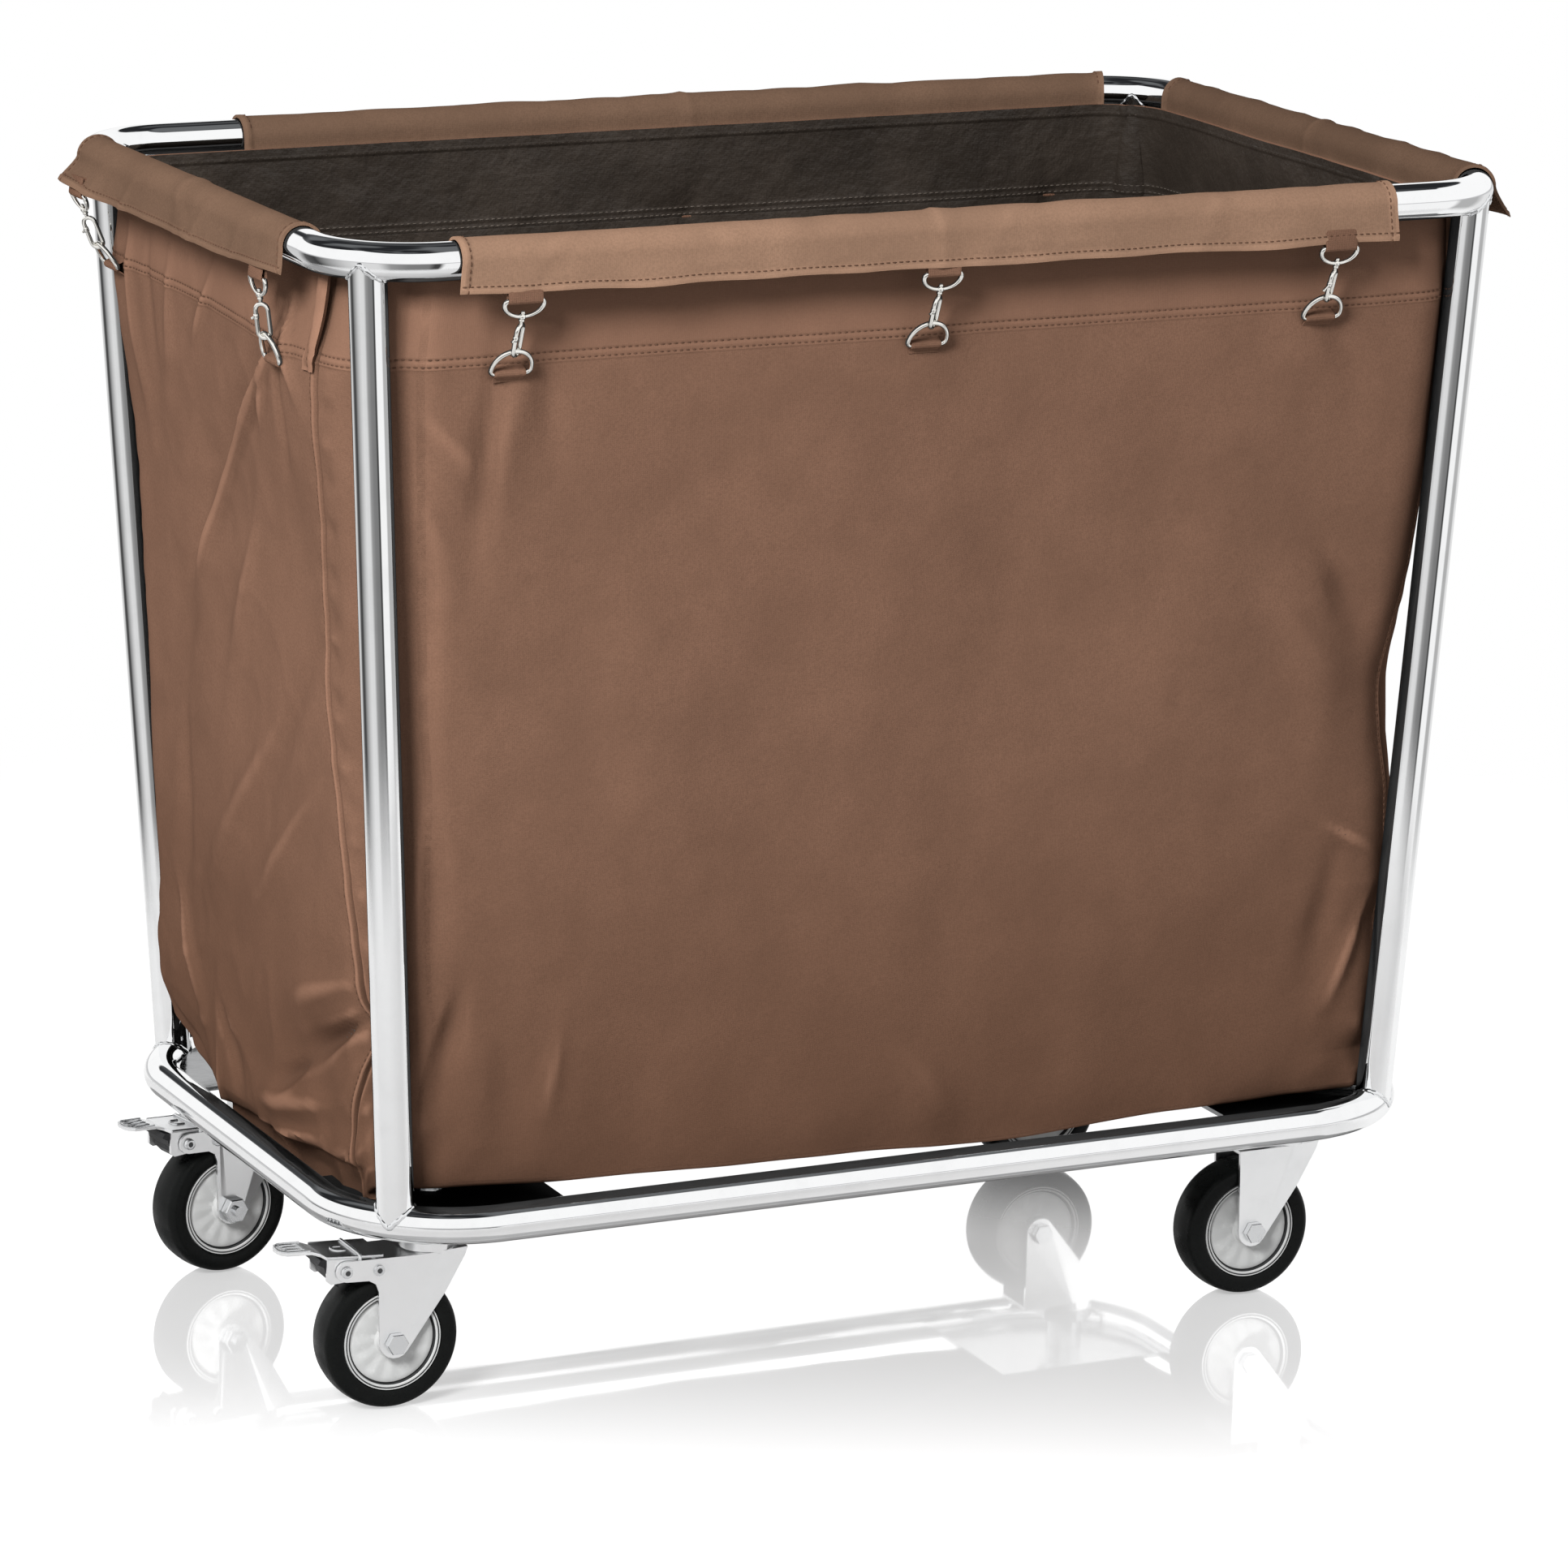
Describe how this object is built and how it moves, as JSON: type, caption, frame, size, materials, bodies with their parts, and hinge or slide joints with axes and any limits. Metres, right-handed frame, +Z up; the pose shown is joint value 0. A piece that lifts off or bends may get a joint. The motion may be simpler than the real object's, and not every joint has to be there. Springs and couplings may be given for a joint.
{
  "type": "linen trolley",
  "caption": "Linen trolley: chromed tube frame on swivel casters, with a hung fabric bag whose flaps fold over the rim and clip to the bag.",
  "frame": {"origin": "on the floor, under the middle of the frame", "axes": "+X along the long side, +Y across to the back, +Z up; the casters trail towards -X"},
  "size_m": [0.9116, 0.577, 0.8353],
  "materials": {
    "chromed_steel": "polished",
    "brown_fabric": "coated woven cloth",
    "tyre_rubber": "satin",
    "grey_plastic": "satin",
    "black_plastic": "satin",
    "nickel_plate": "bright",
    "zinc_plate": "satin"
  },
  "bodies": {
    "frame": {"top_rim": "chromed_steel", "base_ring": "chromed_steel", "linen_bag": "brown_fabric", "post_front_left": "chromed_steel", "corner_plate_front_left": "chromed_steel", "caster_front_left_mount": "zinc_plate", "post_front_right": "chromed_steel", "corner_plate_front_right": "chromed_steel", "caster_front_right_mount": "zinc_plate", "post_back_left": "chromed_steel", "corner_plate_back_left": "chromed_steel", "caster_back_left_mount": "zinc_plate", "post_back_right": "chromed_steel", "corner_plate_back_right": "chromed_steel", "caster_back_right_mount": "zinc_plate", "flap_front": "brown_fabric", "flap_right": "brown_fabric", "flap_back": "brown_fabric", "flap_left": "brown_fabric"},
    "caster_front_left": {"caster_front_left_fork": "zinc_plate", "caster_front_left_axle_bolt": "zinc_plate"},
    "wheel_front_left": {"caster_front_left_hub": "grey_plastic", "caster_front_left_tyre": "tyre_rubber"},
    "pedal_front_left": {"brake_front_left_pedal": "zinc_plate", "brake_front_left_cam": "black_plastic"},
    "caster_front_right": {"caster_front_right_fork": "zinc_plate", "caster_front_right_axle_bolt": "zinc_plate"},
    "wheel_front_right": {"caster_front_right_hub": "grey_plastic", "caster_front_right_tyre": "tyre_rubber"},
    "caster_back_left": {"caster_back_left_fork": "zinc_plate", "caster_back_left_axle_bolt": "zinc_plate"},
    "wheel_back_left": {"caster_back_left_hub": "grey_plastic", "caster_back_left_tyre": "tyre_rubber"},
    "pedal_back_left": {"brake_back_left_pedal": "zinc_plate", "brake_back_left_cam": "black_plastic"},
    "caster_back_right": {"caster_back_right_fork": "zinc_plate", "caster_back_right_axle_bolt": "zinc_plate"},
    "wheel_back_right": {"caster_back_right_hub": "grey_plastic", "caster_back_right_tyre": "tyre_rubber"},
    "hook_front_1": {"snap_hook_front_1": "nickel_plate"},
    "ring_front_1": {"d_ring_front_1": "nickel_plate"},
    "hook_front_2": {"snap_hook_front_2": "nickel_plate"},
    "ring_front_2": {"d_ring_front_2": "nickel_plate"},
    "hook_front_3": {"snap_hook_front_3": "nickel_plate"},
    "ring_front_3": {"d_ring_front_3": "nickel_plate"},
    "hook_right_1": {"snap_hook_right_1": "nickel_plate"},
    "ring_right_1": {"d_ring_right_1": "nickel_plate"},
    "hook_right_2": {"snap_hook_right_2": "nickel_plate"},
    "ring_right_2": {"d_ring_right_2": "nickel_plate"},
    "hook_back_1": {"snap_hook_back_1": "nickel_plate"},
    "ring_back_1": {"d_ring_back_1": "nickel_plate"},
    "hook_back_2": {"snap_hook_back_2": "nickel_plate"},
    "ring_back_2": {"d_ring_back_2": "nickel_plate"},
    "hook_back_3": {"snap_hook_back_3": "nickel_plate"},
    "ring_back_3": {"d_ring_back_3": "nickel_plate"},
    "hook_left_1": {"snap_hook_left_1": "nickel_plate"},
    "ring_left_1": {"d_ring_left_1": "nickel_plate"},
    "hook_left_2": {"snap_hook_left_2": "nickel_plate"},
    "ring_left_2": {"d_ring_left_2": "nickel_plate"}
  },
  "joints": [
    {"name": "swivel_front_left", "type": "hinge", "parent": "frame", "child": "caster_front_left", "pos_m": [-0.3369, -0.1683, 0.118], "axis": [0, 0, 1], "continuous": true},
    {"name": "wheel_spin_front_left", "type": "hinge", "parent": "caster_front_left", "child": "wheel_front_left", "pos_m": [-0.3693, -0.1683, 0.05], "axis": [0, 1, 0], "continuous": true},
    {"name": "brake_front_left", "type": "hinge", "parent": "caster_front_left", "child": "pedal_front_left", "pos_m": [-0.4055, -0.1683, 0.1053], "axis": [0, 1, 0], "range_deg": [-12, 0], "stiffness_Nm_per_rad": 1},
    {"name": "swivel_front_right", "type": "hinge", "parent": "frame", "child": "caster_front_right", "pos_m": [0.3369, -0.1683, 0.118], "axis": [0, 0, 1], "continuous": true},
    {"name": "wheel_spin_front_right", "type": "hinge", "parent": "caster_front_right", "child": "wheel_front_right", "pos_m": [0.3045, -0.1683, 0.05], "axis": [0, 1, 0], "continuous": true},
    {"name": "swivel_back_left", "type": "hinge", "parent": "frame", "child": "caster_back_left", "pos_m": [-0.3369, 0.1683, 0.118], "axis": [0, 0, 1], "continuous": true},
    {"name": "wheel_spin_back_left", "type": "hinge", "parent": "caster_back_left", "child": "wheel_back_left", "pos_m": [-0.36881, 0.16267, 0.05], "axis": [-0.1736, 0.9848, 0], "continuous": true},
    {"name": "brake_back_left", "type": "hinge", "parent": "caster_back_left", "child": "pedal_back_left", "pos_m": [-0.40446, 0.15639, 0.1053], "axis": [-0.1736, 0.9848, 0], "range_deg": [-12, 0], "stiffness_Nm_per_rad": 1},
    {"name": "swivel_back_right", "type": "hinge", "parent": "frame", "child": "caster_back_right", "pos_m": [0.3369, 0.1683, 0.118], "axis": [0, 0, 1], "continuous": true},
    {"name": "wheel_spin_back_right", "type": "hinge", "parent": "caster_back_right", "child": "wheel_back_right", "pos_m": [0.3045, 0.1683, 0.05], "axis": [0, 1, 0], "continuous": true},
    {"name": "hook_swing_front_1", "type": "hinge", "parent": "frame", "child": "hook_front_1", "pos_m": [-0.319, -0.287, 0.7935], "axis": [1, 0, 0], "range_deg": [0, 6]},
    {"name": "ring_swing_front_1", "type": "hinge", "parent": "frame", "child": "ring_front_1", "pos_m": [-0.319, -0.26148, 0.74042], "axis": [1, 0, 0], "range_deg": [-12, 0]},
    {"name": "hook_swing_front_2", "type": "hinge", "parent": "frame", "child": "hook_front_2", "pos_m": [-0.013, -0.287, 0.7935], "axis": [1, 0, 0], "range_deg": [0, 6]},
    {"name": "ring_swing_front_2", "type": "hinge", "parent": "frame", "child": "ring_front_2", "pos_m": [-0.013, -0.26148, 0.74042], "axis": [1, 0, 0], "range_deg": [-12, 0]},
    {"name": "hook_swing_front_3", "type": "hinge", "parent": "frame", "child": "hook_front_3", "pos_m": [0.293, -0.287, 0.7935], "axis": [1, 0, 0], "range_deg": [0, 6]},
    {"name": "ring_swing_front_3", "type": "hinge", "parent": "frame", "child": "ring_front_3", "pos_m": [0.293, -0.26148, 0.74042], "axis": [1, 0, 0], "range_deg": [-12, 0]},
    {"name": "hook_swing_right_1", "type": "hinge", "parent": "frame", "child": "hook_right_1", "pos_m": [0.451, -0.169, 0.7935], "axis": [0, 1, 0], "range_deg": [0, 6]},
    {"name": "ring_swing_right_1", "type": "hinge", "parent": "frame", "child": "ring_right_1", "pos_m": [0.42548, -0.169, 0.74042], "axis": [0, 1, 0], "range_deg": [-12, 0]},
    {"name": "hook_swing_right_2", "type": "hinge", "parent": "frame", "child": "hook_right_2", "pos_m": [0.451, 0.161, 0.7935], "axis": [0, 1, 0], "range_deg": [0, 6]},
    {"name": "ring_swing_right_2", "type": "hinge", "parent": "frame", "child": "ring_right_2", "pos_m": [0.42548, 0.161, 0.74042], "axis": [0, 1, 0], "range_deg": [-12, 0]},
    {"name": "hook_swing_back_1", "type": "hinge", "parent": "frame", "child": "hook_back_1", "pos_m": [0.346, 0.287, 0.7935], "axis": [-1, 0, 0], "range_deg": [0, 6]},
    {"name": "ring_swing_back_1", "type": "hinge", "parent": "frame", "child": "ring_back_1", "pos_m": [0.346, 0.26148, 0.74042], "axis": [-1, 0, 0], "range_deg": [-12, 0]},
    {"name": "hook_swing_back_2", "type": "hinge", "parent": "frame", "child": "hook_back_2", "pos_m": [0.04, 0.287, 0.7935], "axis": [-1, 0, 0], "range_deg": [0, 6]},
    {"name": "ring_swing_back_2", "type": "hinge", "parent": "frame", "child": "ring_back_2", "pos_m": [0.04, 0.26148, 0.74042], "axis": [-1, 0, 0], "range_deg": [-12, 0]},
    {"name": "hook_swing_back_3", "type": "hinge", "parent": "frame", "child": "hook_back_3", "pos_m": [-0.266, 0.287, 0.7935], "axis": [-1, 0, 0], "range_deg": [0, 6]},
    {"name": "ring_swing_back_3", "type": "hinge", "parent": "frame", "child": "ring_back_3", "pos_m": [-0.266, 0.26148, 0.74042], "axis": [-1, 0, 0], "range_deg": [-12, 0]},
    {"name": "hook_swing_left_1", "type": "hinge", "parent": "frame", "child": "hook_left_1", "pos_m": [-0.458, 0.2, 0.7975], "axis": [0, -1, 0], "range_deg": [0, 6]},
    {"name": "ring_swing_left_1", "type": "hinge", "parent": "frame", "child": "ring_left_1", "pos_m": [-0.43248, 0.2, 0.74442], "axis": [0, -1, 0], "range_deg": [-12, 0]},
    {"name": "hook_swing_left_2", "type": "hinge", "parent": "frame", "child": "hook_left_2", "pos_m": [-0.451, -0.141, 0.7935], "axis": [0, -1, 0], "range_deg": [0, 6]},
    {"name": "ring_swing_left_2", "type": "hinge", "parent": "frame", "child": "ring_left_2", "pos_m": [-0.44009, -0.141, 0.73563], "axis": [0, -1, 0], "range_deg": [-12, 0]}
  ],
  "couplings": [
    {"joint": "ring_swing_front_1", "follows": "hook_swing_front_1", "ratio": -2},
    {"joint": "ring_swing_front_2", "follows": "hook_swing_front_2", "ratio": -2},
    {"joint": "ring_swing_front_3", "follows": "hook_swing_front_3", "ratio": -2},
    {"joint": "ring_swing_right_1", "follows": "hook_swing_right_1", "ratio": -2},
    {"joint": "ring_swing_right_2", "follows": "hook_swing_right_2", "ratio": -2},
    {"joint": "ring_swing_back_1", "follows": "hook_swing_back_1", "ratio": -2},
    {"joint": "ring_swing_back_2", "follows": "hook_swing_back_2", "ratio": -2},
    {"joint": "ring_swing_back_3", "follows": "hook_swing_back_3", "ratio": -2},
    {"joint": "ring_swing_left_1", "follows": "hook_swing_left_1", "ratio": -2},
    {"joint": "ring_swing_left_2", "follows": "hook_swing_left_2", "ratio": -2}
  ]
}
